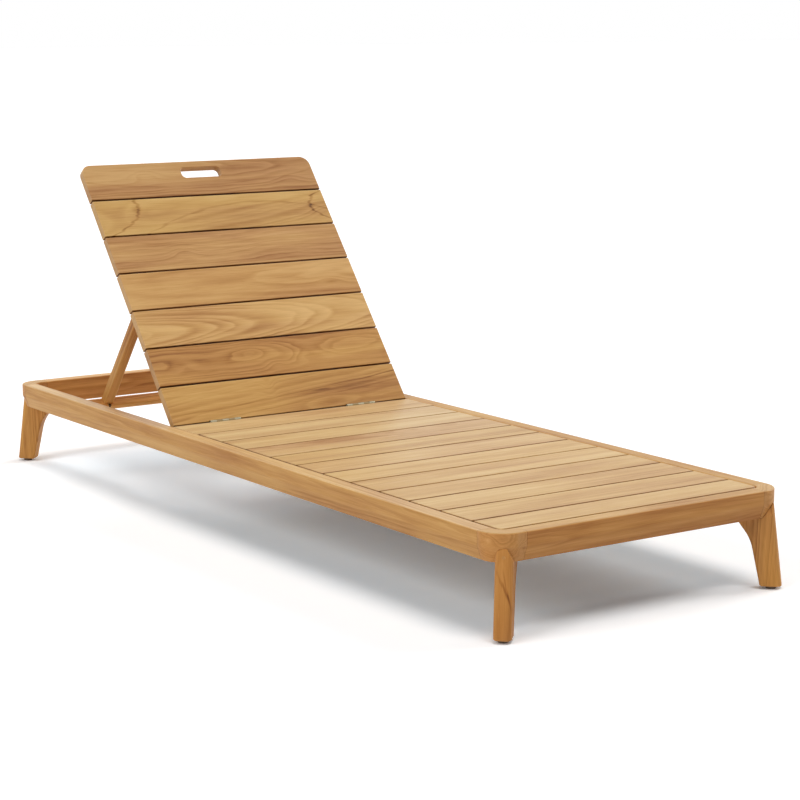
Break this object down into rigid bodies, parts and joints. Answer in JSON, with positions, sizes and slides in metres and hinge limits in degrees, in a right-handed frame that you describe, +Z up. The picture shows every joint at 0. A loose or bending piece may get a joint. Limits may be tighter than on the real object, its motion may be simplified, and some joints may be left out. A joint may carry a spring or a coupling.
{
  "type": "adjustable chaise longue",
  "caption": "Low slatted teak sun lounger with rounded frame corners, splayed blade legs and a hinged slatted backrest held by a folding prop over notched racks.",
  "frame": {"origin": "on the floor, under the middle of the lounger's bounding box", "axes": "+X towards the foot end, +Y across the deck, +Z up"},
  "size_m": [2.0286, 0.71, 0.7575],
  "materials": {
    "teak_deck": "oiled satin",
    "teak_back": "oiled satin",
    "teak_frame": "oiled satin",
    "teak_leg": "oiled satin",
    "steel": "brushed",
    "glide": "matte"
  },
  "bodies": {
    "frame": {"centre_bearer": "teak_frame", "corner_block_foot_far": "teak_frame", "corner_block_foot_near": "teak_frame", "corner_block_head_far": "teak_frame", "corner_block_head_near": "teak_frame", "cross_rail": "teak_frame", "foot_glide_foot_far": "glide", "foot_glide_foot_near": "glide", "foot_glide_head_far": "glide", "foot_glide_head_near": "glide", "foot_rail": "teak_frame", "head_rail": "teak_frame", "hinge_board": "teak_deck", "hinge_leaf_frame_far": "steel", "hinge_leaf_frame_near": "steel", "hinge_pin_far": "steel", "hinge_pin_near": "steel", "leg_foot_far": "teak_leg", "leg_foot_near": "teak_leg", "leg_head_far": "teak_leg", "leg_head_near": "teak_leg", "notched_rack_far": "teak_frame", "notched_rack_near": "teak_frame", "rest_block_far": "teak_frame", "rest_block_near": "teak_frame", "seat_slat_01": "teak_deck", "seat_slat_02": "teak_deck", "seat_slat_03": "teak_deck", "seat_slat_04": "teak_deck", "seat_slat_05": "teak_deck", "seat_slat_06": "teak_deck", "seat_slat_07": "teak_deck", "seat_slat_08": "teak_deck", "seat_slat_09": "teak_deck", "seat_slat_10": "teak_deck", "seat_slat_11": "teak_deck", "side_rail_far": "teak_frame", "side_rail_near": "teak_frame", "slat_ledger_far": "teak_frame", "slat_ledger_near": "teak_frame"},
    "backrest": {"back_batten_centre": "teak_frame", "back_batten_far": "teak_frame", "back_batten_near": "teak_frame", "back_board_1": "teak_back", "back_board_2": "teak_back", "back_board_3": "teak_back", "back_board_4": "teak_back", "back_board_5": "teak_back", "back_board_6": "teak_back", "back_board_7": "teak_back", "hinge_leaf_back_far": "steel", "hinge_leaf_back_near": "steel", "pivot_bolt_far": "steel", "pivot_bolt_near": "steel"},
    "prop": {"prop_bar": "teak_frame", "prop_strut_far": "teak_frame", "prop_strut_near": "teak_frame"}
  },
  "joints": [
    {"name": "backrest_hinge", "type": "hinge", "parent": "frame", "child": "backrest", "pos_m": [-0.2457, 0, 0.2], "axis": [0, 1, 0], "range_deg": [-51.73, 13.27]},
    {"name": "prop_pivot", "type": "hinge", "parent": "backrest", "child": "prop", "pos_m": [-0.48538, 0, 0.45538], "axis": [0, 1, 0], "range_deg": [-26.6, 103.5]}
  ],
  "couplings": [
    {"joint": "prop_pivot", "follows": "backrest_hinge", "ratio": -2}
  ]
}
